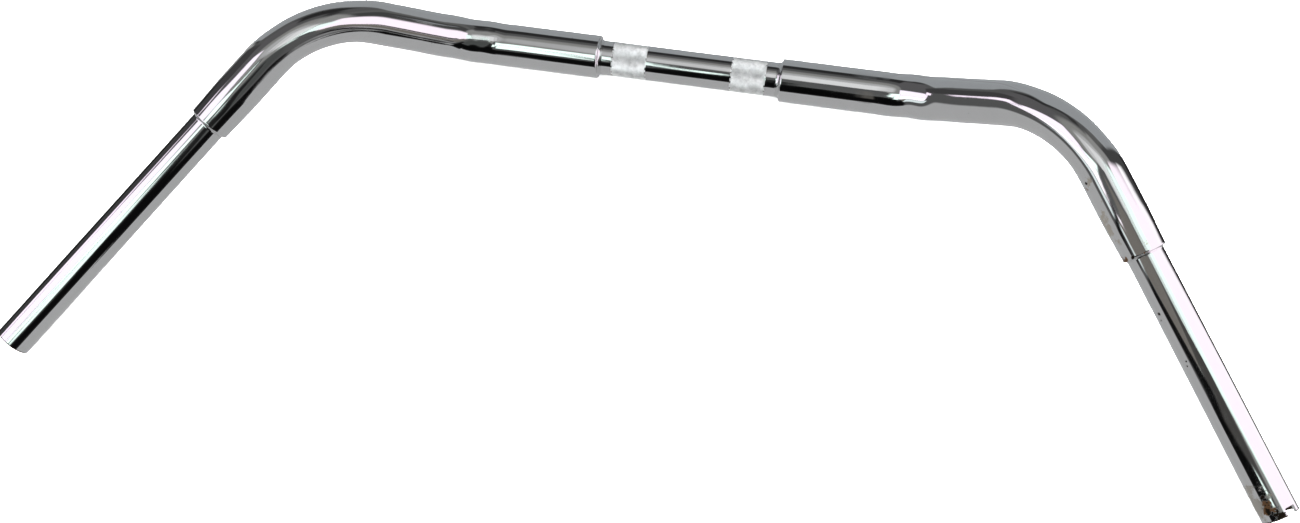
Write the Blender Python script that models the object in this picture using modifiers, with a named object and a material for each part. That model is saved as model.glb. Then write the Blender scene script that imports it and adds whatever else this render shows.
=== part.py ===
"""Chrome stepped handlebar for a cruiser motorcycle.

A 1 in clamp tube with two knurled bands joins two bent 1-1/4 in tubes, and a 1 in grip tube leaves the
outer end of each. The slim tubes slip into the fat ones, and a fillet weld closes each of the four steps.
The bar is drawn lying down, with the undersides of the fat tubes and the lower rims of its ends almost level.

Metres. +X is the rider's right, +Y forward and +Z up. The origin is the middle of the clamp tube.
"""

import math

import bmesh
import bpy
from mathutils import Matrix, Vector

MM = 0.001
INCH = 0.0254

# Tube stock
SLIM_RADIUS = 0.5 * INCH
SLIM_WALL = 2.4 * MM
FAT_RADIUS = 0.625 * INCH
FAT_WALL = 2.775 * MM

# Route of the right half's centreline: out along +X, then through two bends. Its straight legs would meet
# at the two corners, and the last one sweeps back from +X and droops below the horizontal.
STEP_X = 68.0 * MM
BEND_1 = Vector((166.0, 0.0, 0.0)) * MM
BEND_2 = Vector((267.0, -27.0, 70.0)) * MM
GRIP_SWEEP = math.radians(54.8)
GRIP_DROOP = math.radians(13.1)
BEND_RADIUS = 3.5 * INCH
FAT_PAST_BEND_2 = 110.0 * MM

# Bare length of each grip end. The right one is shorter, because a throttle sensor stands out of it.
GRIP_LENGTHS = {1: 191.0 * MM, -1: 212.0 * MM}

# How far each slim tube reaches inside its fat tube
CLAMP_SPIGOT = 35.0 * MM
GRIP_SPIGOT = 40.0 * MM

# What bending and swaging do to the fat tubes
FLATTENING_1 = 0.02
FLATTENING_2 = 0.062
WIDENING = 0.25
BEND_RAMP = 0.25
SWAGE_LENGTH = 32.0 * MM
SWAGE_RADIUS = 15.1 * MM
FAT_EDGE = 1.2 * MM

# Knurled bands, where the risers clamp
KNURL_X = 1.75 * INCH
KNURL_WIDTH = 26.0 * MM
KNURL_HEIGHT = 0.15 * MM
KNURL_RUN_OUT = 0.4 * MM

# Fillet welds, which stay clear of the tubes that they join
WELD_GAP = 0.3 * MM
WELD_LEG_ON_SLIM = 3.4 * MM
WELD_LEG_ON_FAT = 1.7 * MM
WELD_TOE = 0.25 * MM

# Bar ends, and the notch that keys a throttle sensor in the right one
END_EDGE = 0.6 * MM
NOTCH_WIDTH = 7.6 * MM
NOTCH_DEPTH = 5.4 * MM
NOTCH_FROM_TOP = math.radians(16.0)

# Fineness
SIDES = 32
DEGREES_PER_RING = 6.0
SWAGE_STEPS = 4
EDGE_STEPS = 2
WELD_STEPS = 4
SCREW_MERGE = 0.00005

SIDE_NAMES = {1: "right", -1: "left"}
MATERIALS = {
    "chrome": ((0.62, 0.63, 0.65, 1.0), 0.06, 1.0),
    "plated_weld": ((0.55, 0.56, 0.57, 1.0), 0.16, 1.0),
}


def clear_scene():
    for old in list(bpy.data.objects):
        bpy.data.objects.remove(old)


def collection(name):
    made = bpy.data.collections.new(name)
    bpy.context.scene.collection.children.link(made)
    return made


def material(name):
    """The Principled material of that name, made on first use."""
    if name in bpy.data.materials:
        return bpy.data.materials[name]
    colour, roughness, metallic = MATERIALS[name]
    made = bpy.data.materials.new(name)
    made.use_nodes = True
    shader = made.node_tree.nodes["Principled BSDF"]
    shader.inputs["Base Color"].default_value = colour
    shader.inputs["Roughness"].default_value = roughness
    shader.inputs["Metallic"].default_value = metallic
    return made


def smoothstep(low, high, value):
    """0 up to low, 1 from high, and a smooth rise between them."""
    share = min(1.0, max(0.0, (value - low) / (high - low)))
    return share * share * (3.0 - 2.0 * share)


def mirrored(point, side):
    """A right-hand point or direction for side 1, or its mirror image for side -1."""
    return Vector((side * point.x, point.y, point.z))


def grip_direction():
    """The way that the right grip end points."""
    level = Vector((math.cos(GRIP_SWEEP), -math.sin(GRIP_SWEEP), 0.0)) * math.cos(GRIP_DROOP)
    return level - Vector((0.0, 0.0, math.sin(GRIP_DROOP)))


def outer_step(side):
    """Where a fat tube ends and its grip tube comes out, on the centreline."""
    return mirrored(BEND_2 + grip_direction() * FAT_PAST_BEND_2, side)


def frame_matrix(origin, z_axis, x_hint):
    """The placement whose local Z is z_axis and whose local X leans towards x_hint."""
    z = z_axis.normalized()
    x = (x_hint - x_hint.dot(z) * z).normalized()
    turn = Matrix((x, z.cross(x), z)).transposed().to_4x4()
    return Matrix.Translation(origin) @ turn


def object_from_bmesh(name, bm, home, slot):
    mesh = bpy.data.meshes.new(name)
    bm.to_mesh(mesh)
    bm.free()
    mesh.materials.append(material(slot))
    mesh.shade_smooth()
    made = bpy.data.objects.new(name, mesh)
    home.objects.link(made)
    return made


def turned(name, profile, placement, home, slot="chrome"):
    """A ring or tube turned about local Z. Each profile point is (height, radius), and the profile is a
    loop that goes down its outer side and back up its bore."""
    bm = bmesh.new()
    points = [bm.verts.new((radius, 0.0, height)) for height, radius in profile]
    for start, end in zip(points, points[1:] + points[:1]):
        bm.edges.new((start, end))
    made = object_from_bmesh(name, bm, home, slot)
    made.matrix_world = placement
    screw = made.modifiers.new("turn", "SCREW")
    screw.axis = "Z"
    screw.angle = math.tau
    screw.steps = screw.render_steps = SIDES
    screw.use_merge_vertices = True
    screw.merge_threshold = SCREW_MERGE
    screw.use_smooth_shade = True
    return made


class Station:
    """A place on a fat tube's centreline: the point, the direction of travel, the outer radius, and in a
    bend the direction towards its centre and the share of the diameter that it has flattened."""

    def __init__(self, point, along, radius=FAT_RADIUS, inward=None, flattening=0.0):
        self.point = point
        self.along = along
        self.radius = radius
        self.inward = inward
        self.flattening = flattening

    def on_side(self, side):
        inward = mirrored(self.inward, side) if self.inward else None
        point, along = mirrored(self.point, side), mirrored(self.along, side)
        return Station(point, along, self.radius, inward, self.flattening)


def bend_stations(corner, before, after, flattening):
    """Stations round one bend, whose straight legs would meet at corner."""
    angle = before.angle(after)
    inward = (after - before.dot(after) * before).normalized()
    start = corner - before * BEND_RADIUS * math.tan(angle / 2)
    centre = start + inward * BEND_RADIUS
    steps = math.ceil(math.degrees(angle) / DEGREES_PER_RING)
    for step in range(steps + 1):
        share = step / steps
        out = before * math.sin(angle * share) - inward * math.cos(angle * share)
        along = before * math.cos(angle * share) + inward * math.sin(angle * share)
        worked = smoothstep(0.0, BEND_RAMP, share) * smoothstep(0.0, BEND_RAMP, 1.0 - share)
        yield Station(centre + out * BEND_RADIUS, along, FAT_RADIUS, -out, flattening * worked)


def fat_tube_stations():
    """The right fat tube's centreline, from the inner step to its outer end."""
    leg_0 = Vector((1.0, 0.0, 0.0))
    leg_1 = (BEND_2 - BEND_1).normalized()
    leg_2 = grip_direction()
    yield Station(Vector((STEP_X, 0.0, 0.0)), leg_0)
    yield from bend_stations(BEND_1, leg_0, leg_1, FLATTENING_1)
    yield from bend_stations(BEND_2, leg_1, leg_2, FLATTENING_2)
    for step in range(SWAGE_STEPS + 1):
        share = step / SWAGE_STEPS
        point = BEND_2 + leg_2 * (FAT_PAST_BEND_2 - SWAGE_LENGTH * (1.0 - share))
        yield Station(point, leg_2, FAT_RADIUS + (SWAGE_RADIUS - FAT_RADIUS) * smoothstep(0.0, 1.0, share))


def ring(station, start, radius, shift=0.0):
    """The points of a round outline at a station, pressed oval where the bend has flattened the tube.
    start is the direction of its first point, and shift moves it along the tube."""
    across = station.along.cross(start)
    centre = station.point + station.along * shift
    for step in range(SIDES):
        turn = math.tau * step / SIDES
        offset = (start * math.cos(turn) + across * math.sin(turn)) * radius
        if station.flattening:
            sideways = station.along.cross(station.inward)
            offset -= station.inward * offset.dot(station.inward) * station.flattening
            offset += sideways * offset.dot(sideways) * station.flattening * WIDENING
        yield centre + offset


def rounded_edge(station, start, into_tube):
    """Rings of the quarter-round edge at a tube's end, from the end face's rim to the full radius."""
    for step in range(EDGE_STEPS + 1):
        turn = math.pi / 2 * step / EDGE_STEPS
        inset = FAT_EDGE * (1.0 - math.sin(turn))
        yield ring(station, start, station.radius - inset, into_tube * FAT_EDGE * (1.0 - math.cos(turn)))


def fat_tube(side, home):
    """A bent tube as one skin, which runs out along its outside and back along its bore."""
    route = [station.on_side(side) for station in fat_tube_stations()]

    # Each outline's first point turns with the tube, so that the skin has no twist.
    starts = [Vector((0.0, 0.0, 1.0))]
    for before, after in zip(route, route[1:]):
        start = starts[-1].copy()
        start.rotate(before.along.rotation_difference(after.along))
        starts.append(start)
    pairs = list(zip(route, starts))

    skin = list(rounded_edge(*pairs[0], 1.0))
    skin += [ring(station, start, station.radius) for station, start in pairs[1:-1]]
    skin += reversed(list(rounded_edge(*pairs[-1], -1.0)))
    skin += [ring(station, start, FAT_RADIUS - FAT_WALL) for station, start in reversed(pairs)]

    bm = bmesh.new()
    rings = [[bm.verts.new(point) for point in points] for points in skin]
    for here, there in zip(rings, rings[1:] + rings[:1]):
        for step in range(SIDES):
            after = (step + 1) % SIDES
            bm.faces.new((here[step], here[after], there[after], there[step]))
    bmesh.ops.recalc_face_normals(bm, faces=bm.faces)
    return object_from_bmesh(f"{SIDE_NAMES[side]}_fat_tube", bm, home, "chrome")


def clamp_tube(home):
    """The straight middle tube, with a raised band where each riser clamps it."""
    half = STEP_X + CLAMP_SPIGOT
    bore = SLIM_RADIUS - SLIM_WALL
    band = []
    for edge in (KNURL_X + KNURL_WIDTH / 2, KNURL_X - KNURL_WIDTH / 2):
        crest = edge - math.copysign(KNURL_RUN_OUT, edge - KNURL_X)
        pair = [(edge, SLIM_RADIUS), (crest, SLIM_RADIUS + KNURL_HEIGHT)]
        band += pair if edge > KNURL_X else pair[::-1]
    lower_band = [(-height, radius) for height, radius in reversed(band)]
    profile = [(half, SLIM_RADIUS - END_EDGE), (half - END_EDGE, SLIM_RADIUS), *band, *lower_band]
    profile += [(END_EDGE - half, SLIM_RADIUS), (-half, SLIM_RADIUS - END_EDGE)]
    profile += [(-half, bore), (half, bore)]
    placement = frame_matrix(Vector(), Vector((1.0, 0.0, 0.0)), Vector((0.0, 0.0, 1.0)))
    return turned("clamp_tube", profile, placement, home)


def grip_tube(side, home):
    """A straight tube that runs from inside the fat tube to the bar's end."""
    along = mirrored(grip_direction(), side)
    inner = outer_step(side) - along * GRIP_SPIGOT
    length = GRIP_SPIGOT + GRIP_LENGTHS[side]
    bore = SLIM_RADIUS - SLIM_WALL
    profile = [(length, SLIM_RADIUS - END_EDGE), (length - END_EDGE / 3, SLIM_RADIUS - END_EDGE / 3)]
    profile += [(length - END_EDGE, SLIM_RADIUS), (END_EDGE, SLIM_RADIUS)]
    profile += [(0.0, SLIM_RADIUS - END_EDGE), (0.0, bore), (length, bore)]
    placement = frame_matrix(inner, along, Vector((0.0, 0.0, 1.0)))
    return turned(f"{SIDE_NAMES[side]}_grip_tube", profile, placement, home)


def weld(name, corner, away, home):
    """A concave fillet round a slim tube, in the corner that it makes with a fat tube's end face."""
    inner = SLIM_RADIUS + WELD_GAP
    curve = []
    for step in range(WELD_STEPS + 1):
        turn = math.pi / 2 * step / WELD_STEPS
        height = WELD_GAP + WELD_LEG_ON_SLIM * (1.0 - math.sin(turn))
        radius = inner + WELD_TOE + (WELD_LEG_ON_FAT - WELD_TOE) * (1.0 - math.cos(turn))
        curve.append((height, radius))
    profile = curve + [(WELD_GAP, inner), (WELD_GAP + WELD_LEG_ON_SLIM, inner)]
    placement = frame_matrix(corner, away, Vector((0.0, 0.0, 1.0)))
    return turned(name, profile, placement, home, "plated_weld")


def cut_notch(grip, home):
    """Cuts the keying notch in the right bar end. It faces up, and leans towards the front."""
    along = grip_direction()
    end = outer_step(1) + along * GRIP_LENGTHS[1]
    up = Vector((0.0, 0.0, 1.0))
    top = (up - up.dot(along) * along).normalized()
    facing = Matrix.Rotation(-NOTCH_FROM_TOP, 3, along) @ top
    past = 2.0 * MM
    bpy.ops.mesh.primitive_cube_add(size=1.0)
    cutter = bpy.context.object
    cutter.name = "notch_cutter"
    for old_home in list(cutter.users_collection):
        old_home.objects.unlink(cutter)
    home.objects.link(cutter)
    size = Matrix.Diagonal((SLIM_RADIUS, NOTCH_WIDTH, NOTCH_DEPTH + past)).to_4x4()
    middle = end + facing * SLIM_RADIUS + along * (past - NOTCH_DEPTH) / 2
    cutter.data.transform(size)
    cutter.matrix_world = frame_matrix(middle, along, facing)
    cutter.hide_render = True
    cutter.display_type = "WIRE"
    cut = grip.modifiers.new("notch", "BOOLEAN")
    cut.operation = "DIFFERENCE"
    cut.solver = "EXACT"
    cut.object = cutter


def main():
    clear_scene()
    parts = collection("handlebar")
    cutters = collection("cutters")
    clamp_tube(parts)
    for side, word in SIDE_NAMES.items():
        fat_tube(side, parts)
        grip = grip_tube(side, parts)
        if side == 1:
            cut_notch(grip, cutters)
        weld(f"{word}_inner_weld", Vector((side * STEP_X, 0.0, 0.0)), Vector((-side, 0.0, 0.0)), parts)
        weld(f"{word}_outer_weld", outer_step(side), mirrored(grip_direction(), side), parts)


main()
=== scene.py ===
import math

import bmesh
import bpy
from mathutils import Matrix, Vector, noise


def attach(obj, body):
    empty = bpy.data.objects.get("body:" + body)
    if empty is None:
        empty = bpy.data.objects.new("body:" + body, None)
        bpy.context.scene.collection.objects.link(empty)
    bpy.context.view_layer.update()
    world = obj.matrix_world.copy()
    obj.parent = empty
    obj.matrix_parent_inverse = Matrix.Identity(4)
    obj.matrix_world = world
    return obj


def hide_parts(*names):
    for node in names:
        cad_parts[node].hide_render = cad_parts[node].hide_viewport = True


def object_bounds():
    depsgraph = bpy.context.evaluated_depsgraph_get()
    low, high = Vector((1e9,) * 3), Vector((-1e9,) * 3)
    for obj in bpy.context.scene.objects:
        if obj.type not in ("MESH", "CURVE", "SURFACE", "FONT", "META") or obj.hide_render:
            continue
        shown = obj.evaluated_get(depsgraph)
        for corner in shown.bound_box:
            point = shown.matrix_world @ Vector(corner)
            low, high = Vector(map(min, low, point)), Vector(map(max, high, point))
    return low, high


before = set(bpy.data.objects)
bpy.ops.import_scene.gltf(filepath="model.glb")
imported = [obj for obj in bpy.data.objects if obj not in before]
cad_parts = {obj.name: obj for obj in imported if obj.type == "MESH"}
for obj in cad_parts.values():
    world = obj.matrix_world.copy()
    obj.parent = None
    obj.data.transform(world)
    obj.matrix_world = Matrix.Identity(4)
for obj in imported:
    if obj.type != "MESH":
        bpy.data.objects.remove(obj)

cad_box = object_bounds()

# The looks of a chrome stepped handlebar. Each CAD tube is replaced by a finer one of the same size: round to
# the eye, with cut knurling, welds that meet the tubes, open bores and the marks of use.
# Metres. +X is the rider's right, +Y forward, +Z up, and the origin is the middle of the clamp tube.

MM = 0.001
INCH = 0.0254
UP = Vector((0.0, 0.0, 1.0))
RIGHT = 1
LEFT = -1
SIDE_NAMES = {RIGHT: "right", LEFT: "left"}

# Tube stock
SLIM_RADIUS = 0.5 * INCH
SLIM_BORE = SLIM_RADIUS - 2.4 * MM
FAT_RADIUS = 0.625 * INCH
FAT_BORE = FAT_RADIUS - 2.775 * MM

# Route of the right half's centreline, as in the CAD model
STEP_X = 68.0 * MM
BEND_1 = Vector((166.0, 0.0, 0.0)) * MM
BEND_2 = Vector((267.0, -27.0, 70.0)) * MM
GRIP_SWEEP = math.radians(54.8)
GRIP_DROOP = math.radians(13.1)
BEND_RADIUS = 3.5 * INCH
FAT_PAST_BEND_2 = 110.0 * MM
GRIP_LENGTHS = {RIGHT: 191.0 * MM, LEFT: 212.0 * MM}
CLAMP_SPIGOT = 35.0 * MM
GRIP_SPIGOT = 40.0 * MM

# What bending and swaging do to the fat tubes
FLATTENING_1 = 0.02
FLATTENING_2 = 0.062
WIDENING = 0.25
BEND_RAMP = 0.25
SWAGE_LENGTH = 32.0 * MM
SWAGE_RADIUS = 15.1 * MM
FAT_EDGE = 1.2 * MM

# Faint wrinkles that bending leaves round the inner bends
WRINKLE = 0.3 * MM
WRINKLE_LENGTH = 27.0 * MM
WRINKLE_REACH = 26.0 * MM
WRINKLE_SLANT = 1.3
WRINKLE_PHASES = {RIGHT: 0.6, LEFT: 3.4}

# Diamond knurling on the two bands where the risers clamp
KNURL_X = 1.75 * INCH
KNURL_WIDTH = 26.0 * MM
KNURL_HEIGHT = 0.15 * MM
KNURL_COUNT = 80
KNURL_ANGLE = math.radians(30.0)
KNURL_DEPTH = 0.15 * MM
KNURL_MARGIN = 0.4 * MM

# Wear of the knurling's tips: how fast it changes round the tube and along it per metre, the share of the
# height that is usually left, and how much that varies
WORN_COARSE = (2.5, 160.0)
WORN_FINE = (12.0, 700.0)
TIP_KEPT = 0.8
TIP_WEAR = 0.5

# The frosted bands end in a ragged line: its grain per metre, and the noise below which the last row is
# frosted
RAGGED_GRAIN = 500.0
RAGGED_LEVEL = 0.05

# Fillet welds: their legs along the slim tube and up the end face, how far they sit in the steel, and how
# uneven they are, round the tube, along it and from weld to weld
INNER_WELD_LEGS = (3.4 * MM, 1.7 * MM)
OUTER_WELD_LEGS = (1.7 * MM, 0.9 * MM)
WELD_ROOT = 0.2 * MM
WELD_UNEVEN = 0.12 * MM
WELD_GRAIN_ROUND = 4.0
WELD_GRAIN_ALONG = 300.0
WELD_VARIETY = 90.0

# Bar ends, and the notch that keys a throttle sensor in the right one
END_EDGE = 0.6 * MM
NOTCH_WIDTH = 7.6 * MM
NOTCH_DEPTH = 5.4 * MM
NOTCH_CORNER = 0.8 * MM
NOTCH_CORNER_STEPS = 4
CUTTER_PAST_END = 2.0 * MM
NOTCH_FROM_TOP = math.radians(16.0)

# Marks of wear on the right half's outer leg: how far past the outer bend's corner, turn inwards from the
# top, reach, how much of that is covered, and kind
FAT_MARKS = (
    (52.0 * MM, math.radians(62.0), 6.5 * MM, 0.3, "stain"),
    (51.5 * MM, math.radians(75.0), 1.3 * MM, 0.9, "dirt"),
    (55.0 * MM, math.radians(84.0), 3.0 * MM, 0.35, "rust"),
    (84.0 * MM, math.radians(70.0), 24.0 * MM, 0.2, "stain"),
    (104.0 * MM, math.radians(2.0), 4.0 * MM, 0.1, "stain"),
    (109.5 * MM, math.radians(84.0), 5.0 * MM, 0.55, "rust"),
    (109.8 * MM, math.radians(55.0), 5.0 * MM, 0.45, "dirt"),
    (109.8 * MM, math.radians(20.0), 2.0 * MM, 0.5, "rust"),
)
GRIP_MARKS = (
    (149.9 * MM, math.radians(71.0), 1.3 * MM, 0.8, "dirt"),
    (154.0 * MM, math.radians(76.0), 0.9 * MM, 0.7, "dirt"),
    (184.8 * MM, math.radians(61.0), 0.9 * MM, 0.8, "dirt"),
    (188.0 * MM, math.radians(66.0), 0.8 * MM, 0.7, "dirt"),
    (286.0 * MM, math.radians(72.0), 16.0 * MM, 0.45, "scuff"),
    (291.0 * MM, math.radians(42.0), 9.0 * MM, 0.3, "rust"),
    (283.0 * MM, math.radians(42.0), 6.0 * MM, 0.3, "dirt"),
    (293.0 * MM, math.radians(38.0), 10.0 * MM, 0.35, "dirt"),
    (300.0 * MM, math.radians(20.0), 6.0 * MM, 0.5, "dirt"),
)
MARK_KINDS = {
    "dirt": ((0.02, 0.015, 0.01, 1.0), 0.6),
    "rust": ((0.20, 0.115, 0.06, 1.0), 0.6),
    "stain": ((0.47, 0.44, 0.39, 1.0), 0.25),
    "scuff": ((0.44, 0.42, 0.385, 1.0), 0.38),
}

# Fineness
SIDES = 160
DEGREES_PER_RING = 1.5
LEG_STEP = 6.0 * MM
EDGE_STEPS = 4
EDGE_SUPPORT = 0.3 * MM
WELD_STEPS = 8
SHARP_ANGLE = math.radians(35.0)


# ---------------------------------------------------------------- geometry helpers


def smoothstep(low, high, value):
    share = min(1.0, max(0.0, (value - low) / (high - low)))
    return share * share * (3.0 - 2.0 * share)


def spread(low, high, step):
    """Evenly spaced values from low to high, about step apart."""
    count = max(1, math.ceil(abs(high - low) / step))
    return [low + (high - low) * n / count for n in range(count + 1)]


def mirrored(point, side):
    return Vector((side * point.x, point.y, point.z))


def grip_direction():
    """The way that the right grip end points."""
    level = Vector((math.cos(GRIP_SWEEP), -math.sin(GRIP_SWEEP), 0.0)) * math.cos(GRIP_DROOP)
    return level - UP * math.sin(GRIP_DROOP)


def outer_step(side):
    """Where a fat tube ends and its grip tube comes out, on the centreline."""
    return mirrored(BEND_2 + grip_direction() * FAT_PAST_BEND_2, side)


def bar_end(side):
    return outer_step(side) + mirrored(grip_direction(), side) * GRIP_LENGTHS[side]


def frame_matrix(origin, z_axis, x_hint):
    """The placement whose local Z is z_axis and whose local X leans towards x_hint."""
    z = z_axis.normalized()
    x = (x_hint - x_hint.dot(z) * z).normalized()
    turn = Matrix((x, z.cross(x), z)).transposed().to_4x4()
    return Matrix.Translation(origin) @ turn


def piece(name, bm, nodes, materials):
    """Makes a smooth mesh piece that rides on the bar and stands for CAD nodes."""
    bmesh.ops.recalc_face_normals(bm, faces=bm.faces)
    mesh = bpy.data.meshes.new(name)
    bm.to_mesh(mesh)
    bm.free()
    for material in materials:
        mesh.materials.append(material)
    mesh.set_sharp_from_angle(angle=SHARP_ANGLE)
    made = bpy.data.objects.new(name, mesh)
    bpy.context.scene.collection.objects.link(made)
    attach(made, "root")
    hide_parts(*nodes)
    return made


def skin(rings, bore_from=None, knurled=(), shaded_bare_rim=0):
    """Joins closed rings of points into one closed tube skin.

    Faces before the ring that ends the bare rim, and from ring bore_from on, get material 1. The bare rim is
    a cut edge at a bar end, and its dark steel there is also painted shade along the rim. Faces in the
    knurled ranges of rings are folded flat along the grooves, and get material 2 but for a ragged edge.
    """
    bm = bmesh.new()
    made = [[bm.verts.new(point) for point in ring] for ring in rings]
    for index, (here, there) in enumerate(zip(made, made[1:] + made[:1])):
        band = next((rows for rows in knurled if index in rows), None)
        for step in range(len(here)):
            after = (step + 1) % len(here)
            corners = (here[step], here[after], there[after], there[step])
            if band is None:
                face = bm.faces.new(corners)
                face.smooth = True
                in_bore = bore_from is not None and index >= bore_from
                face.material_index = int(index < shaded_bare_rim or in_bore)
                continue
            if (index - band.start + step) % 2:
                corners = corners[1:] + corners[:1]
            at_edge = index in (band.start, band.stop - 1)
            frosted = not at_edge or noise.noise(here[step].co * RAGGED_GRAIN) < RAGGED_LEVEL
            for triangle in ((0, 1, 2), (0, 2, 3)):
                bm.faces.new([corners[corner] for corner in triangle]).material_index = 2 * frosted
    return bm


def turned_rings(profile, placement, sides, relief=None):
    """Rings of a turned shape, from (height, radius) points. relief adds to the radius by height and turn."""
    for height, radius in profile:
        ring = []
        for step in range(sides):
            turn = math.tau * step / sides
            grown = radius + (relief(height, turn) if relief else 0.0)
            ring.append(placement @ Vector((math.cos(turn) * grown, math.sin(turn) * grown, height)))
        yield ring


def end_rounding(height, radius, edge, outward):
    """Profile of a quarter-round edge at a tube's end, from the end face's rim to just past full radius."""
    for step in range(EDGE_STEPS + 1):
        turn = math.pi / 2 * step / EDGE_STEPS
        yield height - outward * edge * (1.0 - math.cos(turn)), radius - edge * (1.0 - math.sin(turn))
    yield height - outward * (edge + EDGE_SUPPORT), radius


# ---------------------------------------------------------------- fat tubes


class Station:
    """A place on a fat tube's centreline, as in the CAD model."""

    def __init__(self, point, along, radius=FAT_RADIUS, inward=None, flattening=0.0):
        self.point = point
        self.along = along
        self.radius = radius
        self.inward = inward
        self.flattening = flattening

    def on_side(self, side):
        inward = mirrored(self.inward, side) if self.inward else None
        point, along = mirrored(self.point, side), mirrored(self.along, side)
        return Station(point, along, self.radius, inward, self.flattening)


def leg_stations(start, end):
    """Stations along a straight leg, without its two ends."""
    along = (end - start).normalized()
    for distance in spread(0.0, (end - start).length, LEG_STEP)[1:-1]:
        yield Station(start + along * distance, along)


def bend_stations(corner, before, after, flattening):
    """Stations round one bend, whose straight legs would meet at corner."""
    angle = before.angle(after)
    inward = (after - before.dot(after) * before).normalized()
    start = corner - before * BEND_RADIUS * math.tan(angle / 2)
    centre = start + inward * BEND_RADIUS
    for turn in spread(0.0, angle, math.radians(DEGREES_PER_RING)):
        share = turn / angle
        out = before * math.sin(turn) - inward * math.cos(turn)
        along = before * math.cos(turn) + inward * math.sin(turn)
        worked = smoothstep(0.0, BEND_RAMP, share) * smoothstep(0.0, BEND_RAMP, 1.0 - share)
        yield Station(centre + out * BEND_RADIUS, along, FAT_RADIUS, -out, flattening * worked)


def fat_tube_stations():
    """The right fat tube's centreline, from the inner step to its outer end."""
    leg_0 = Vector((1.0, 0.0, 0.0))
    leg_1 = (BEND_2 - BEND_1).normalized()
    leg_2 = grip_direction()
    first = Station(Vector((STEP_X, 0.0, 0.0)), leg_0)
    bend_1 = list(bend_stations(BEND_1, leg_0, leg_1, FLATTENING_1))
    bend_2 = list(bend_stations(BEND_2, leg_1, leg_2, FLATTENING_2))
    swage_start = BEND_2 + leg_2 * (FAT_PAST_BEND_2 - SWAGE_LENGTH)
    route = [first, *leg_stations(first.point, bend_1[0].point), *bend_1]
    route += [*leg_stations(bend_1[-1].point, bend_2[0].point), *bend_2]
    route += leg_stations(bend_2[-1].point, swage_start)
    for share in spread(0.0, 1.0, LEG_STEP / SWAGE_LENGTH / 2):
        radius = FAT_RADIUS + (SWAGE_RADIUS - FAT_RADIUS) * smoothstep(0.0, 1.0, share)
        route.append(Station(swage_start + leg_2 * SWAGE_LENGTH * share, leg_2, radius))
    return route


def wrinkle(distance, across, side):
    """How far a wrinkle lifts the skin, from the distance past the middle of the inner bend."""
    reach = math.exp(-((distance / WRINKLE_REACH) ** 2))
    wave = math.sin(math.tau * distance / WRINKLE_LENGTH + WRINKLE_PHASES[side] + WRINKLE_SLANT * across)
    return WRINKLE * reach * wave


def oval_ring(station, start, radius, shift=0.0, side=0):
    """A round outline at a station, pressed oval where the bend has flattened the tube.

    Given a side, the skin is wrinkled round its inner bend.
    """
    across = station.along.cross(start)
    centre = station.point + station.along * shift
    ring = []
    for step in range(SIDES):
        turn = math.tau * step / SIDES
        out = start * math.cos(turn) + across * math.sin(turn)
        offset = out * (radius + (wrinkle(side * centre.x - BEND_1.x, out.y, side) if side else 0.0))
        if station.flattening:
            sideways = station.along.cross(station.inward)
            offset -= station.inward * offset.dot(station.inward) * station.flattening
            offset += sideways * offset.dot(sideways) * station.flattening * WIDENING
        ring.append(centre + offset)
    return ring


def fat_edge(station, start, outward):
    """Rings of the quarter-round edge at a fat tube's end."""
    for shift, radius in end_rounding(0.0, station.radius, FAT_EDGE, outward):
        yield oval_ring(station, start, radius, shift)


def fat_tube(side, chrome, bore):
    route = [station.on_side(side) for station in fat_tube_stations()]
    starts = [UP.copy()]
    for before, after in zip(route, route[1:]):
        start = starts[-1].copy()
        start.rotate(before.along.rotation_difference(after.along))
        starts.append(start)
    pairs = list(zip(route, starts))

    rings = list(fat_edge(*pairs[0], -1.0))
    rings += [oval_ring(station, start, station.radius, side=side) for station, start in pairs[1:-1]]
    rings += reversed(list(fat_edge(*pairs[-1], 1.0)))
    bore_from = len(rings)
    rings += [oval_ring(station, start, FAT_BORE) for station, start in reversed(pairs)]
    word = SIDE_NAMES[side]
    piece(f"{word}_fat_chrome", skin(rings, bore_from), [f"{word}_fat_tube"], [chrome, bore])


# ---------------------------------------------------------------- slim tubes


def knurl_rows():
    """Heights of the rows of points across one band, outermost first. Each diamond spans two rows."""
    row = math.tau * SLIM_RADIUS / KNURL_COUNT / math.tan(KNURL_ANGLE) / 2
    count = 2 * round(KNURL_WIDTH / row / 2)
    return [KNURL_X + KNURL_WIDTH * (0.5 - n / count) for n in range(count + 1)]


def wear(around, height, scale):
    """How worn a place on the knurling is, about -1 to 1."""
    return noise.noise(around * scale[0] + UP * height * scale[1])


def knurl_ring(height, row, rows, placement):
    """A ring of points, alternately in a groove and on the unevenly worn tip of a diamond."""
    ring = []
    fade = smoothstep(-0.5, 1.5, min(row, rows - 1 - row))
    for step in range(2 * KNURL_COUNT):
        turn = math.tau * step / (2 * KNURL_COUNT)
        around = Vector((math.cos(turn), math.sin(turn), 0.0))
        worn = wear(around, height, WORN_COARSE) + 0.5 * wear(around, height, WORN_FINE)
        tip = KNURL_HEIGHT * min(1.0, TIP_KEPT + TIP_WEAR * worn)
        relief = tip if (row + step) % 2 else -KNURL_DEPTH
        ring.append(placement @ (around * (SLIM_RADIUS + relief * fade) + UP * height))
    return ring


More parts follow.
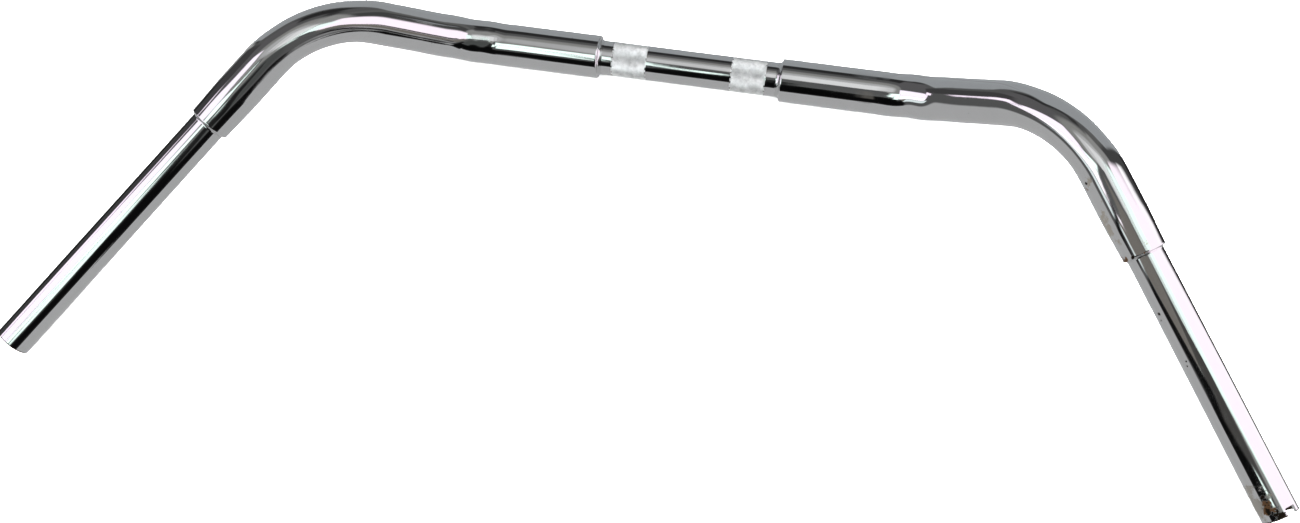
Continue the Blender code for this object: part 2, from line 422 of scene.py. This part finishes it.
def clamp_tube(chrome, bore, frosted):
    """The tube from one end to the other: a spigot, a knurled band, the middle, a band and a spigot."""
    half = STEP_X + CLAMP_SPIGOT
    band_outside = KNURL_X + KNURL_WIDTH / 2
    band_inside = KNURL_X - KNURL_WIDTH / 2
    placement = frame_matrix(Vector(), Vector((1.0, 0.0, 0.0)), UP)

    def plain(profile):
        return list(turned_rings(profile, placement, 2 * KNURL_COUNT))

    spigot = spread(half - END_EDGE, band_outside, LEG_STEP)[1:-1] + [band_outside + KNURL_MARGIN]
    between = spread(band_inside - KNURL_MARGIN, KNURL_MARGIN - band_inside, LEG_STEP)
    near_end = list(end_rounding(half, SLIM_RADIUS, END_EDGE, 1.0))
    near_end += [(height, SLIM_RADIUS) for height in spigot]
    middle = [(height, SLIM_RADIUS) for height in between]
    far_end = [(-height, radius) for height, radius in reversed(near_end)]
    near_rows = knurl_rows()
    far_rows = [-height for height in reversed(near_rows)]

    rings = plain(near_end)
    knurled = []
    for rows, after in ((near_rows, middle), (far_rows, far_end)):
        knurled.append(range(len(rings), len(rings) + len(rows) - 1))
        rings += [knurl_ring(height, row, len(rows), placement) for row, height in enumerate(rows)]
        rings += plain(after)
    bore_from = len(rings)
    rings += plain([(-half, SLIM_BORE), (half, SLIM_BORE)])
    bm = skin(rings, bore_from, knurled)
    piece("clamp_tube_chrome", bm, ["clamp_tube"], [chrome, bore, frosted])


def notch_cutter():
    """The block that cuts the keying notch, with rounded corners at the notch's bottom."""
    along = grip_direction()
    top = (UP - UP.dot(along) * along).normalized()
    facing = Matrix.Rotation(-NOTCH_FROM_TOP, 3, along) @ top
    bm = bmesh.new()
    bmesh.ops.create_cube(bm, size=1.0)
    size = Vector((SLIM_RADIUS, NOTCH_WIDTH, NOTCH_DEPTH + CUTTER_PAST_END))
    bmesh.ops.scale(bm, vec=size, verts=bm.verts)
    bottom = [edge for edge in bm.edges if all(vert.co.z < 0.0 for vert in edge.verts)]
    corners = [edge for edge in bottom if abs(edge.verts[0].co.x - edge.verts[1].co.x) > size.x / 2]
    bmesh.ops.bevel(bm, geom=corners, offset=NOTCH_CORNER, segments=NOTCH_CORNER_STEPS, profile=0.5,
                    affect="EDGES")
    middle = bar_end(RIGHT) + facing * SLIM_RADIUS + along * (CUTTER_PAST_END - NOTCH_DEPTH) / 2
    bmesh.ops.transform(bm, matrix=frame_matrix(middle, along, facing), verts=bm.verts)
    mesh = bpy.data.meshes.new("notch_cutter")
    bm.to_mesh(mesh)
    bm.free()
    cutter = bpy.data.objects.new("notch_cutter", mesh)
    bpy.context.scene.collection.objects.link(cutter)
    return cutter


def cut(target, cutter):
    """Cuts one mesh with another for good, and removes the cutter."""
    boolean = target.modifiers.new("cut", "BOOLEAN")
    boolean.operation = "DIFFERENCE"
    boolean.solver = "EXACT"
    boolean.object = cutter
    evaluated = target.evaluated_get(bpy.context.evaluated_depsgraph_get())
    target.data = bpy.data.meshes.new_from_object(evaluated)
    target.modifiers.clear()
    bpy.data.objects.remove(cutter)
    target.data.set_sharp_from_angle(angle=SHARP_ANGLE)


def grip_tube(side, chrome, bore):
    length = GRIP_SPIGOT + GRIP_LENGTHS[side]
    outside = list(end_rounding(length, SLIM_RADIUS, END_EDGE, 1.0))
    outside += [(height, SLIM_RADIUS) for height in spread(length - END_EDGE, END_EDGE, LEG_STEP)[1:-1]]
    outside += reversed(list(end_rounding(0.0, SLIM_RADIUS, END_EDGE, -1.0)))
    inside = [(height, SLIM_BORE) for height in spread(0.0, length, LEG_STEP)]
    along = mirrored(grip_direction(), side)
    placement = frame_matrix(outer_step(side) - along * GRIP_SPIGOT, along, UP)
    rings = list(turned_rings(outside + inside, placement, SIDES))
    word = SIDE_NAMES[side]
    # The bar end's rounded rim takes the dark bare steel: a cut edge with thin plate, and also painted shade
    # along the rim.
    bm = skin(rings, len(outside), shaded_bare_rim=EDGE_STEPS + 1)
    made = piece(f"{word}_grip_chrome", bm, [f"{word}_grip_tube"], [chrome, bore])
    if side == RIGHT:
        cut(made, notch_cutter())


# ---------------------------------------------------------------- welds


def weld(name, node, corner, away, legs, plating):
    """A concave, slightly uneven fillet in the corner that a slim tube makes with a fat tube's end face.

    legs are how far it reaches along the slim tube, and up the end face.
    """
    on_slim, on_fat = legs

    def uneven(height, turn):
        around = Vector((math.cos(turn), math.sin(turn), 0.0)) * WELD_GRAIN_ROUND
        return WELD_UNEVEN * noise.noise(around + UP * height * WELD_GRAIN_ALONG + corner * WELD_VARIETY)

    curve = []
    for step in range(WELD_STEPS + 1):
        turn = math.pi / 2 * step / WELD_STEPS
        height = on_slim * (1.0 - math.sin(turn))
        radius = SLIM_RADIUS + on_fat * (1.0 - math.cos(turn))
        curve.append((height, radius))
    within = SLIM_RADIUS - WELD_ROOT
    root = [(-WELD_ROOT, SLIM_RADIUS + on_fat), (-WELD_ROOT, within), (on_slim, within)]
    placement = frame_matrix(corner, away, UP)
    rings = list(turned_rings(curve, placement, SIDES, uneven))
    rings += turned_rings(root, placement, SIDES)
    piece(name, skin(rings), [node], [plating])


# ---------------------------------------------------------------- materials

# Colours and finishes. Haze is the roughness of the clearest plate, and ripple is how strong its waves are.
PLATE = (0.60, 0.605, 0.61, 1.0)
PLATE_HAZE = 0.03
PLATE_RIPPLE = 0.05
WELD_PLATE = (0.56, 0.565, 0.57, 1.0)
WELD_HAZE = 0.10
WELD_RIPPLE = 0.25
HAZE_RANGE = 0.07
HAZE_DULLING = 0.93

# Pits, at most one in a cell: cells per metre, a pit's radius in cells, and the share of cells without one
PIT = (0.12, 0.115, 0.11, 1.0)
PIT_CELLS = 260.0
PIT_SIZE = 0.11
PIT_EDGE = 0.04
PIT_FREE = 0.985

FROSTED_METAL = 0.965
FROSTED_DARK = (0.66, 0.675, 0.675, 1.0)
FROSTED_PALE = (0.95, 0.97, 0.97, 1.0)
SCALE_DARK = (0.035, 0.03, 0.028, 1.0)
SCALE_PALE = (0.13, 0.10, 0.08, 1.0)


def new_material(name):
    made = bpy.data.materials.new(name)
    made.use_nodes = True
    return made, made.node_tree, made.node_tree.nodes["Principled BSDF"]


def add(tree, kind, inputs=None, **settings):
    """A new node with its settings and inputs. An input is a value, or a socket to link from."""
    node = tree.nodes.new(kind)
    for key, value in settings.items():
        setattr(node, key, value)
    for key, value in (inputs or {}).items():
        if isinstance(value, bpy.types.NodeSocket):
            tree.links.new(value, node.inputs[key])
        else:
            node.inputs[key].default_value = value
    return node


def maths(tree, operation, *values):
    node = tree.nodes.new("ShaderNodeMath")
    node.operation = operation
    for socket, value in zip(node.inputs, values):
        if isinstance(value, bpy.types.NodeSocket):
            tree.links.new(value, socket)
        else:
            socket.default_value = value
    return node.outputs[0]


def soft_edge(tree, inside, softness):
    """0 outside an edge and 1 inside it, from the distance inside it."""
    limits = {"Value": inside, "From Min": -softness / 2, "From Max": softness / 2}
    return add(tree, "ShaderNodeMapRange", limits, interpolation_type="SMOOTHSTEP").outputs["Result"]


def chrome_material(name, base, roughness, wave, marks=()):
    """Chrome plate with a faint haze, tiny pits and ripples, and any marks of wear laid over it.

    roughness is that of its clearest parts, and wave is the strength of the ripples.
    """
    made, tree, shader = new_material(name)
    shader.inputs["Metallic"].default_value = 1.0
    place = add(tree, "ShaderNodeTexCoord").outputs["Object"]
    haze = add(tree, "ShaderNodeTexNoise", {"Vector": place, "Scale": 90.0, "Detail": 6.0, "Roughness": 0.65})
    limits = {"From Min": 0.35, "From Max": 0.75, "To Min": roughness, "To Max": roughness + HAZE_RANGE}
    ranged = add(tree, "ShaderNodeMapRange", {"Value": haze.outputs["Fac"], **limits})
    dulled = [HAZE_DULLING * share for share in base[:3]] + [1.0]
    colour = layered(tree, haze.outputs["Fac"], base, dulled)
    ripple = add(tree, "ShaderNodeTexNoise", {"Vector": place, "Scale": 60.0, "Detail": 2.0})

    cells = add(tree, "ShaderNodeTexVoronoi", {"Vector": place, "Scale": PIT_CELLS, "Randomness": 1.0})
    chance = add(tree, "ShaderNodeSeparateColor", {"Color": cells.outputs["Color"]}).outputs["Red"]
    small = maths(tree, "SUBTRACT", PIT_SIZE, cells.outputs["Distance"])
    rare = maths(tree, "GREATER_THAN", chance, PIT_FREE)
    pits = maths(tree, "MULTIPLY", soft_edge(tree, small, PIT_EDGE), rare)
    colour = layered(tree, pits, colour, PIT)
    rough = ranged.outputs["Result"]
    for centre, reach, cover, kind in marks:
        mask = blotches(tree, place, centre, reach, cover)
        mark_colour, mark_rough = MARK_KINDS[kind]
        colour = layered(tree, mask, colour, mark_colour)
        keep = maths(tree, "MULTIPLY", maths(tree, "SUBTRACT", 1.0, mask), rough)
        rough = maths(tree, "ADD", keep, maths(tree, "MULTIPLY", mask, mark_rough))
    tree.links.new(colour, shader.inputs["Base Color"])
    tree.links.new(rough, shader.inputs["Roughness"])
    height = maths(tree, "SUBTRACT", ripple.outputs["Fac"], maths(tree, "MULTIPLY", pits, 0.5))
    bump = add(tree, "ShaderNodeBump", {"Height": height, "Strength": wave, "Distance": 0.001})
    tree.links.new(bump.outputs["Normal"], shader.inputs["Normal"])
    return made


def layered(tree, mask, under, over):
    """One colour laid over another where mask is 1."""
    mixed = add(tree, "ShaderNodeMix", {"Factor": mask, "A": under, "B": over}, data_type="RGBA")
    return mixed.outputs["Result"]


def blotches(tree, place, centre, reach, cover):
    """1 in ragged blotches round a centre, thinning out to nothing at the given reach. cover is 0 to 1."""
    gap = add(tree, "ShaderNodeVectorMath", {0: place, 1: centre}, operation="DISTANCE").outputs["Value"]
    near = maths(tree, "SUBTRACT", 1.0, maths(tree, "DIVIDE", gap, reach))
    grain = add(tree, "ShaderNodeTexNoise",
                {"Vector": place, "Scale": 1.6 / reach, "Detail": 4.0, "Roughness": 0.6})
    ragged = maths(tree, "MULTIPLY", maths(tree, "SUBTRACT", grain.outputs["Fac"], 0.5), 3.0)
    level = maths(tree, "ADD", maths(tree, "ADD", near, ragged), cover - 1.0)
    return maths(tree, "MULTIPLY", soft_edge(tree, level, 0.25), soft_edge(tree, near, 0.2))


def on_right_tube(past_bend, turn, radius):
    """A point on the right outer leg's skin: how far past the outer bend, and turned in from the top."""
    along = grip_direction()
    top = (UP - UP.dot(along) * along).normalized()
    offset = Matrix.Rotation(turn, 3, along) @ top
    return BEND_2 + along * past_bend + offset * radius


def marks_on(radius, marks):
    """Marks of wear with their centres in place on the skin of the right outer leg."""
    return [(on_right_tube(past_bend, turn, radius), *looks) for past_bend, turn, *looks in marks]


def frosted_material():
    """Chrome over knurling: pale, dull and blotchy, where the risers have pressed the tips."""
    made, tree, shader = new_material("frosted_chrome")
    shader.inputs["Metallic"].default_value = FROSTED_METAL
    place = add(tree, "ShaderNodeTexCoord").outputs["Object"]
    blotch = add(tree, "ShaderNodeTexNoise",
                 {"Vector": place, "Scale": 210.0, "Detail": 6.0, "Roughness": 0.6})
    limits = {"Value": blotch.outputs["Fac"], "From Min": 0.35, "From Max": 0.62}
    pale = add(tree, "ShaderNodeMapRange", limits).outputs["Result"]
    colour = layered(tree, pale, FROSTED_DARK, FROSTED_PALE)
    tree.links.new(colour, shader.inputs["Base Color"])
    ranged = add(tree, "ShaderNodeMapRange", {"Value": blotch.outputs["Fac"], "To Min": 0.6, "To Max": 0.3})
    tree.links.new(ranged.outputs["Result"], shader.inputs["Roughness"])
    grain = add(tree, "ShaderNodeTexNoise", {"Vector": place, "Scale": 2500.0, "Detail": 2.0})
    bump = add(tree, "ShaderNodeBump", {"Height": grain.outputs["Fac"], "Strength": 0.4, "Distance": 0.0001})
    tree.links.new(bump.outputs["Normal"], shader.inputs["Normal"])
    return made


def bore_material():
    """Bare brown steel with mill scale, for the bores and the cut edges at the open ends, and painted shade
    on the bar ends' rims.
    """
    made, tree, shader = new_material("bore_steel_with_rim_shade")
    shader.inputs["Metallic"].default_value = 1.0
    place = add(tree, "ShaderNodeTexCoord").outputs["Object"]
    scale = add(tree, "ShaderNodeTexNoise", {"Vector": place, "Scale": 220.0, "Detail": 5.0})
    colour = layered(tree, scale.outputs["Fac"], SCALE_DARK, SCALE_PALE)
    tree.links.new(colour, shader.inputs["Base Color"])
    ranged = add(tree, "ShaderNodeMapRange", {"Value": scale.outputs["Fac"], "To Min": 0.35, "To Max": 0.75})
    tree.links.new(ranged.outputs["Result"], shader.inputs["Roughness"])
    bump = add(tree, "ShaderNodeBump", {"Height": scale.outputs["Fac"], "Strength": 0.3, "Distance": 0.0003})
    tree.links.new(bump.outputs["Normal"], shader.inputs["Normal"])
    return made


# ---------------------------------------------------------------- studio

# Far surroundings, each patch laid over those before it: azimuth from and to, measured from +Y towards +X,
# elevation from and to, softness of the edges, all in degrees, then brightness and tint
PATCHES = {
    "wall": (-180, 180, 4, 90, 6, 0.08, (1, 1, 1)),
    "ceiling_low": (-180, 180, 60, 90, 10, 0.22, (1, 1, 0.96)),
    "ceiling": (-180, 180, 73, 90, 8, 0.38, (1, 1, 1)),
    "ceiling_front": (20, 84, 54, 74, 8, 0.25, (1, 1, 0.97)),
    "front_sweep": (-46, 27, -90, 14, 6, 0.29, (0.96, 1, 1.03)),
    "front_gap": (-34, 6, 26, 46, 7, 0.02, (1, 1, 1)),
    "front_gap_top": (0, 13, 43, 54, 6, 0.03, (1, 1, 1)),
    "left_wall": (-84, -30, 30, 58, 6, 0.09, (1, 0.97, 1)),
    "left_dark": (-80, -57, -27, 36, 5, 0.045, (1, 0.98, 1)),
    "left_black": (-72, -60, -26, -4, 5, 0.008, (1, 1, 1)),
    "left_corner": (-54, -42, -10, 10, 4, 0.01, (0.9, 1, 1)),
    "right_front": (25, 40, -32, 50, 6, 0.10, (1, 1, 0.97)),
    "right_edge": (38, 62, -36, 52, 6, 0.05, (1, 1, 1)),
    "right_black": (40, 55, -45, -16, 5, 0.016, (1.05, 0.95, 1.05)),
    "window_low": (56, 72, -23, 32, 6, 1.1, (1, 1, 1)),
    "back_gap": (178, 206, 57, 72, 6, 0.08, (1, 1, 1)),
    "back_black": (166, 214, 8, 30, 6, 0.003, (1, 1, 1)),
    "table_right": (108, 133, 2, 19, 4, 0.27, (1, 1, 1)),
    "back_right": (138, 166, 30, 60, 6, 0.065, (0.95, 1, 0.97)),
    "back_left": (214, 229, 24, 44, 5, 0.15, (1.1, 1, 0.85)),
}
# Nearer lamps and shades. Each stands in the plane where one coordinate has a given value, and spans the two
# others from and to, then softness of the edges, all in metres, then brightness and tint
CARDS = {
    "window": ("x", 1.41, -1.2, 0.56, -0.4, 3.0, 0.4, 1.08, (1, 0.88, 0.97)),
    "ceiling_dim": ("z", 2.52, -0.5, 0.6, -0.62, 0.3, 0.3, 0.53, (1, 1, 1)),
    "ceiling_middle": ("z", 2.5, -0.12, 0.6, -0.78, 0.2, 0.3, 0.68, (1, 1, 1)),
    "ceiling_right": ("z", 2.5, 0.35, 1.6, -1.0, 0.0, 0.3, 1.1, (0.84, 1, 0.94)),
    "ceiling_left": ("z", 2.5, -4.5, -1.15, -1.6, 0.06, 0.2, 1.1, (1, 0.9, 1.02)),
    "ceiling_left_back": ("z", 2.5, -4.5, -1.3, -2.9, -1.4, 0.2, 1.3, (1, 0.93, 1)),
    "ceiling_left_far": ("z", 2.5, -6.0, -3.3, -5.3, -3.1, 0.4, 0.8, (0.9, 1, 1)),
    "ceiling_left_corner": ("z", 2.5, -5.8, -3.5, -0.1, 0.75, 0.4, 1.2, (1, 0.86, 1)),
    "ceiling_back": ("z", 2.5, -1.3, -0.42, -2.1, -0.95, 0.15, 1.3, (0.84, 1, 0.94)),
    "ceiling_back_low": ("z", 2.5, -1.4, -0.72, -3.0, -1.6, 0.2, 1.3, (0.84, 1, 0.94)),
    "ceiling_strip_end": ("z", 2.51, -0.15, 0.22, -2.7, -2.0, 0.2, 1.2, (0.84, 1, 0.94)),
    "ceiling_strip": ("z", 2.5, -0.45, 0.0, -2.5, -1.7, 0.15, 1.2, (0.84, 1, 0.94)),
    "figure_low": ("y", -0.86, -0.3, 0.52, 0.06, 0.52, 0.06, 0.003, (1, 1, 1)),
    "figure_low_right": ("y", -0.85, 0.15, 0.52, -0.06, 0.2, 0.05, 0.003, (1, 1, 1)),
    "figure_core": ("y", -0.855, -0.17, 0.14, 0.4, 0.72, 0.06, 0.003, (1, 1, 1)),
    "figure_middle": ("y", -0.86, -0.09, 0.14, 0.45, 1.3, 0.06, 0.012, (1, 1, 1)),
    "figure": ("y", -0.31, 0.057, 0.22, 0.28, 0.95, 0.03, 0.085, (1, 1, 1)),
    "figure_base": ("y", -0.305, 0.06, 0.1, 0.06, 0.29, 0.025, 0.002, (1, 1, 1)),
    "figure_arm": ("y", -0.3, 0.135, 0.3, 0.145, 0.6, 0.03, 0.14, (1.08, 1, 0.9)),
    "figure_elbow": ("y", -0.295, 0.3, 0.42, 0.085, 0.4, 0.03, 0.05, (1.05, 1, 0.95)),
    "figure_hip": ("y", -0.29, 0.15, 0.33, 0.065, 0.145, 0.02, 0.004, (1, 1, 1)),
    "front_paper": ("y", 0.5, -1.0, 0.14, -0.4, 0.275, 0.06, 0.29, (0.96, 1, 1.03)),
    "front_paper_right": ("y", 0.3, 0.14, 0.6, -0.4, 0.35, 0.05, 0.29, (0.96, 1, 1.03)),
}

# Brightness is given as it looks in the chrome, so it is divided by how much the chrome reflects
CHROME_SHINE = 0.6
TABLE_GLOW = 0.36
BACKDROP = (1.0, 1.0, 1.0, 1.0)

FLOOR_SIZE = 5.0
FLOOR_GAP = 0.05 * MM
FLOOR_PAPER = (0.92, 0.92, 0.92, 1.0)
FLOOR_ROUGHNESS = 0.9
LAMP_SIZE = (4.0, 3.0)
LAMP_PLACE = (0.2, -0.3, 2.2)
LAMP_WATTS = 460.0

CAMERA_PLACE = Vector((131.4, -508.9, 1034.3)) * MM
CAMERA_AIM = Vector((-2.7, -154.5, 0.0)) * MM
CAMERA_TILT = math.radians(-11.356)
CAMERA_LENS = 42.9
CAMERA_SENSOR = 36.0


def shade_of(glow, tint):
    """The colour that a lamp or shade gives off."""
    return [glow * share / CHROME_SHINE for share in tint] + [1.0]


def studio_world():
    """The studio that the chrome mirrors, as a sky of soft-edged panels. The camera sees a plain backdrop."""
    world = bpy.data.worlds.new("studio")
    world.use_nodes = True
    bpy.context.scene.world = world
    tree = world.node_tree
    background = tree.nodes["Background"]
    direction = add(tree, "ShaderNodeTexCoord").outputs["Generated"]
    parts = add(tree, "ShaderNodeSeparateXYZ", {"Vector": direction})
    x, y, z = (parts.outputs[axis] for axis in "XYZ")
    azimuth = maths(tree, "ARCTAN2", x, y)
    elevation = maths(tree, "ARCSINE", z)
    colour = shade_of(TABLE_GLOW, (1, 1, 1))
    for *degrees, glow, tint in PATCHES.values():
        low_az, high_az, low_el, high_el, softness = map(math.radians, degrees)
        mask = soft_edge(tree, maths(tree, "SUBTRACT", elevation, low_el), softness)
        if high_el < math.pi / 2:
            top = soft_edge(tree, maths(tree, "SUBTRACT", high_el, elevation), softness)
            mask = maths(tree, "MULTIPLY", mask, top)
        if high_az - low_az < math.tau - 0.01:
            turned = maths(tree, "SUBTRACT", azimuth, (low_az + high_az) / 2)
            away = maths(tree, "WRAP", turned, math.pi, -math.pi)
            inside = maths(tree, "SUBTRACT", (high_az - low_az) / 2, maths(tree, "ABSOLUTE", away))
            mask = maths(tree, "MULTIPLY", mask, soft_edge(tree, inside, softness))
        colour = layered(tree, mask, colour, shade_of(glow, tint))
    seen = add(tree, "ShaderNodeLightPath").outputs["Is Camera Ray"]
    tree.links.new(layered(tree, seen, colour, BACKDROP), background.inputs["Color"])


def card(name, axis, level, low_u, high_u, low_v, high_v, softness, glow, tint):
    """A lamp or shade that only the chrome sees: a flat card that fades out towards its edges."""
    fixed = "xyz".index(axis)
    others = [index for index in range(3) if index != fixed]
    grow = softness / 2
    left, right, near, far = low_u - grow, high_u + grow, low_v - grow, high_v + grow
    corners = []
    for u, v in ((left, near), (right, near), (right, far), (left, far)):
        corner = [level, level, level]
        corner[others[0]], corner[others[1]] = u, v
        corners.append(corner)
    mesh = bpy.data.meshes.new(name)
    mesh.from_pydata(corners, [], [(0, 1, 2, 3)])
    made = bpy.data.objects.new(name, mesh)
    bpy.context.scene.collection.objects.link(made)
    made.visible_camera = made.visible_diffuse = made.visible_shadow = False

    material = bpy.data.materials.new(name)
    material.use_nodes = True
    tree = material.node_tree
    tree.nodes.clear()
    place = add(tree, "ShaderNodeTexCoord").outputs["Object"]
    parts = add(tree, "ShaderNodeSeparateXYZ", {"Vector": place})
    mask = None
    for index, low, high in ((others[0], low_u, high_u), (others[1], low_v, high_v)):
        from_middle = maths(tree, "ABSOLUTE", maths(tree, "SUBTRACT", parts.outputs[index], (low + high) / 2))
        inside = maths(tree, "SUBTRACT", (high - low) / 2, from_middle)
        edge = soft_edge(tree, inside, softness)
        mask = maths(tree, "MULTIPLY", mask, edge) if mask else edge
    lit = add(tree, "ShaderNodeEmission", {"Color": shade_of(glow, tint)})
    clear = add(tree, "ShaderNodeBsdfTransparent")
    mixed = add(tree, "ShaderNodeMixShader", {"Fac": mask})
    tree.links.new(clear.outputs[0], mixed.inputs[1])
    tree.links.new(lit.outputs[0], mixed.inputs[2])
    tree.links.new(mixed.outputs[0], add(tree, "ShaderNodeOutputMaterial").inputs["Surface"])
    mesh.materials.append(material)


def pale_floor():
    lowest = cad_box[0].z
    bpy.ops.mesh.primitive_plane_add(size=FLOOR_SIZE, location=(0.0, 0.0, lowest - FLOOR_GAP))
    floor = bpy.context.object
    floor.name = "studio_floor"
    made, tree, shader = new_material("pale_paper")
    shader.inputs["Base Color"].default_value = FLOOR_PAPER
    shader.inputs["Roughness"].default_value = FLOOR_ROUGHNESS
    floor.data.materials.append(made)
    floor.visible_glossy = False


def overhead_light():
    """A large soft lamp for the floor and the frosted plate. The chrome mirrors only the panels and cards."""
    data = bpy.data.lights.new("overhead", "AREA")
    data.shape = "RECTANGLE"
    data.size, data.size_y = LAMP_SIZE
    data.energy = LAMP_WATTS
    lamp = bpy.data.objects.new("overhead", data)
    lamp.location = LAMP_PLACE
    lamp.visible_camera = False
    lamp.visible_glossy = False
    bpy.context.scene.collection.objects.link(lamp)


def camera():
    """Looks down on the bar from behind and above, a little from the right, and is tilted."""
    data = bpy.data.cameras.new("camera")
    data.lens = CAMERA_LENS
    data.sensor_width = CAMERA_SENSOR
    made = bpy.data.objects.new("camera", data)
    turn = (CAMERA_AIM - CAMERA_PLACE).to_track_quat("-Z", "Y").to_matrix().to_4x4()
    made.matrix_world = Matrix.Translation(CAMERA_PLACE) @ turn @ Matrix.Rotation(CAMERA_TILT, 4, "Z")
    bpy.context.scene.collection.objects.link(made)
    bpy.context.scene.camera = made


camera()
studio_world()
for card_name, card_settings in CARDS.items():
    card(card_name, *card_settings)
pale_floor()
overhead_light()

weld_plate = chrome_material("weld_plate", WELD_PLATE, WELD_HAZE, WELD_RIPPLE)
# Dark bare steel for the bores and cut ends, which on the bar ends' rims is also painted shade.
bore_steel_and_rim_shade = bore_material()
clamp_tube(chrome_material("clamp_chrome", PLATE, PLATE_HAZE, PLATE_RIPPLE), bore_steel_and_rim_shade, frosted_material())
for side, word in SIDE_NAMES.items():
    fat_marks = marks_on(FAT_RADIUS, FAT_MARKS) if side == RIGHT else []
    grip_marks = marks_on(SLIM_RADIUS, GRIP_MARKS) if side == RIGHT else []
    fat_tube(side, chrome_material(f"{word}_fat_plate", PLATE, PLATE_HAZE, PLATE_RIPPLE, fat_marks), bore_steel_and_rim_shade)
    grip_tube(side, chrome_material(f"{word}_grip_plate", PLATE, PLATE_HAZE, PLATE_RIPPLE, grip_marks), bore_steel_and_rim_shade)
    step, inwards = Vector((side * STEP_X, 0.0, 0.0)), Vector((-side, 0.0, 0.0))
    weld(f"{word}_inner_fillet", f"{word}_inner_weld", step, inwards, INNER_WELD_LEGS, weld_plate)
    step, outwards = outer_step(side), mirrored(grip_direction(), side)
    weld(f"{word}_outer_fillet", f"{word}_outer_weld", step, outwards, OUTER_WELD_LEGS, weld_plate)

bpy.context.scene.view_settings.view_transform = "Standard"
